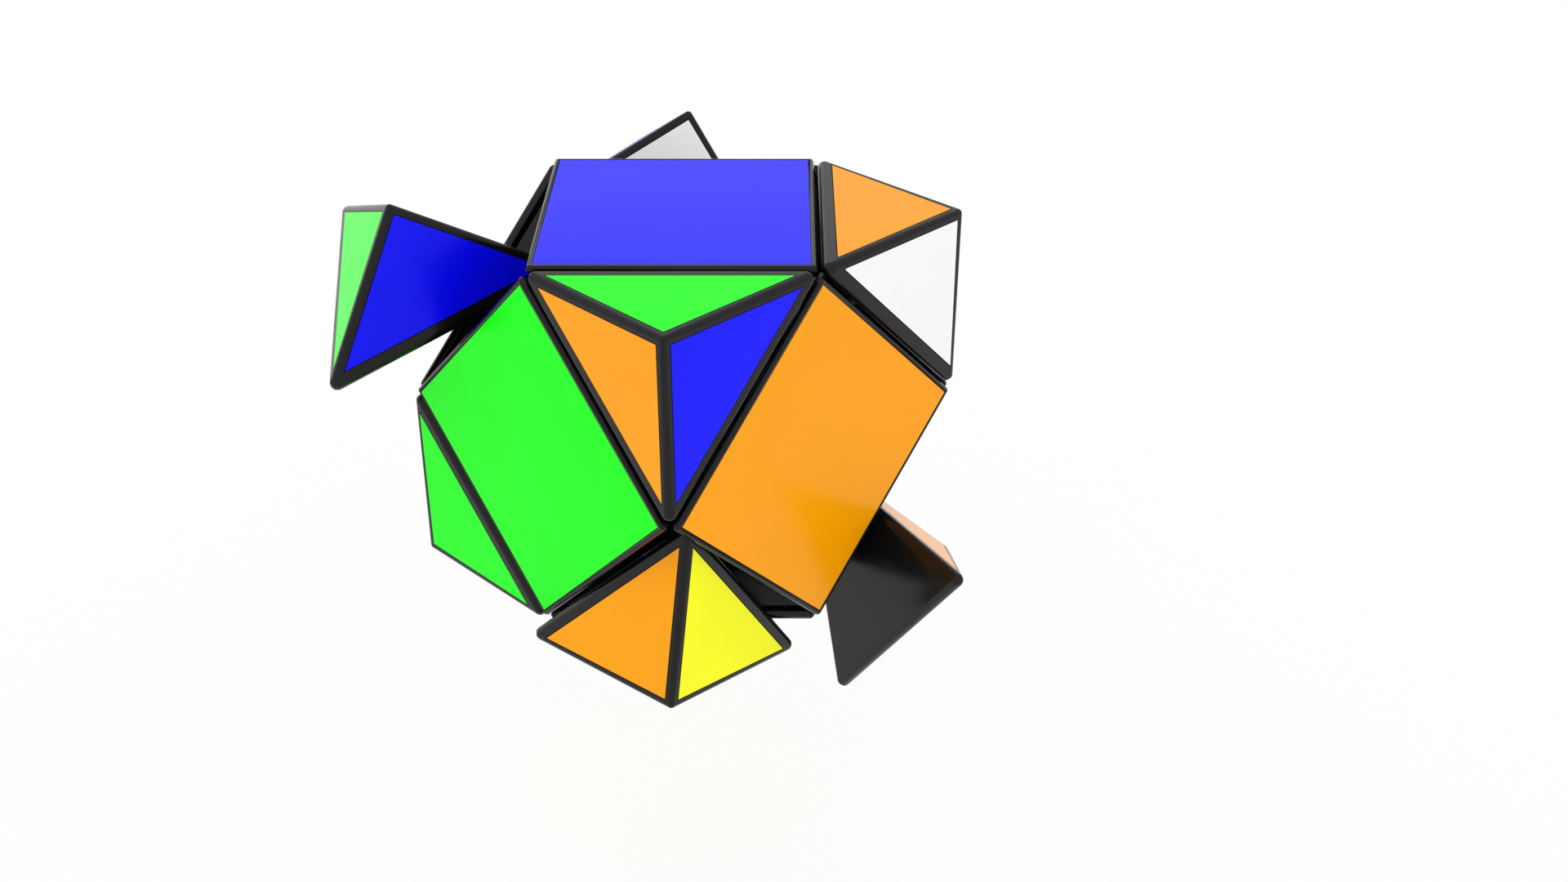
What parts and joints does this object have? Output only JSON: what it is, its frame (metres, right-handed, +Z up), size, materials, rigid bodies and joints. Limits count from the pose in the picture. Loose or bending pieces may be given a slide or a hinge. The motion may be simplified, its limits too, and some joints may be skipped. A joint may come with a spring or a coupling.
{
  "type": "corner-turning puzzle cube",
  "caption": "Corner-turning puzzle cube with coloured square centres and triangular corner caps, four of them lifted off and turned away from the body.",
  "frame": {"origin": "middle of the bottom centre's outer face", "axes": "+Z up through the top centre, +X out of the left front face and +Y out of the right front face, as seen from in front and above"},
  "size_m": [0.0834, 0.1, 0.0771],
  "materials": {
    "black_plastic": "polished moulded black",
    "inner_plastic": "moulded black, slightly dull",
    "steel": "zinc-plated screw and spring wire",
    "sticker_blue": "smooth glossy blue",
    "sticker_green": "smooth glossy green",
    "sticker_orange": "smooth glossy orange",
    "sticker_yellow": "smooth glossy yellow",
    "sticker_red": "smooth glossy red",
    "sticker_white": "smooth glossy white"
  },
  "bodies": {
    "core_half": {"core": "inner_plastic", "tension_screw_top_left": "steel", "tension_screw_top_right": "steel", "tension_screw_bottom_front": "steel", "tension_screw_bottom_back": "steel", "tension_spring_top_left": "steel", "tension_spring_top_right": "steel", "tension_spring_bottom_front": "steel", "tension_spring_bottom_back": "steel", "axle_stem_top_left": "inner_plastic", "axle_stem_top_right": "inner_plastic", "axle_stem_bottom_back": "inner_plastic", "floating_foot_top_back": "inner_plastic", "corner_cap_top_right": "black_plastic", "corner_cap_bottom_back": "black_plastic", "cap_peg_top_right": "inner_plastic", "cap_peg_bottom_back": "inner_plastic", "centre_top": "black_plastic", "tile_top": "sticker_blue", "centre_back_right": "black_plastic", "tile_back_right": "sticker_white", "centre_back_left": "black_plastic", "tile_back_left": "sticker_red"},
    "turning_half": {"axle_stem_bottom_front": "inner_plastic", "floating_foot_top_front": "inner_plastic", "floating_foot_bottom_left": "inner_plastic", "floating_foot_bottom_right": "inner_plastic", "corner_cap_top_front": "black_plastic", "corner_cap_bottom_left": "black_plastic", "cap_peg_top_front": "inner_plastic", "cap_peg_bottom_left": "inner_plastic", "centre_left": "black_plastic", "tile_left": "sticker_green", "centre_right": "black_plastic", "tile_right": "sticker_orange", "centre_bottom": "black_plastic", "tile_bottom": "sticker_yellow"},
    "loose_cap_top_left": {"corner_cap_top_left": "black_plastic"},
    "loose_cap_top_back": {"corner_cap_top_back": "black_plastic"},
    "loose_cap_bottom_front": {"corner_cap_bottom_front": "black_plastic"},
    "loose_cap_bottom_right": {"corner_cap_bottom_right": "black_plastic"}
  },
  "joints": [
    {"name": "layer_turn", "type": "hinge", "parent": "core_half", "child": "turning_half", "pos_m": [0, 0, 0.0285], "axis": [0.5774, 0.5774, -0.5774], "range_deg": [-120, 120]},
    {"name": "lift_top_left", "type": "slide", "parent": "core_half", "child": "loose_cap_top_left", "axis": [0.5774, -0.5774, 0.5774], "range_m": [0, 0.018]},
    {"name": "lift_top_back", "type": "slide", "parent": "core_half", "child": "loose_cap_top_back", "axis": [-0.5774, -0.5774, 0.5774], "range_m": [0, 0.018]},
    {"name": "lift_bottom_front", "type": "slide", "parent": "turning_half", "child": "loose_cap_bottom_front", "axis": [0.5774, 0.5774, -0.5774], "range_m": [0, 0.018]},
    {"name": "lift_bottom_right", "type": "slide", "parent": "turning_half", "child": "loose_cap_bottom_right", "axis": [-0.5774, 0.5774, -0.5774], "range_m": [0, 0.018]}
  ]
}
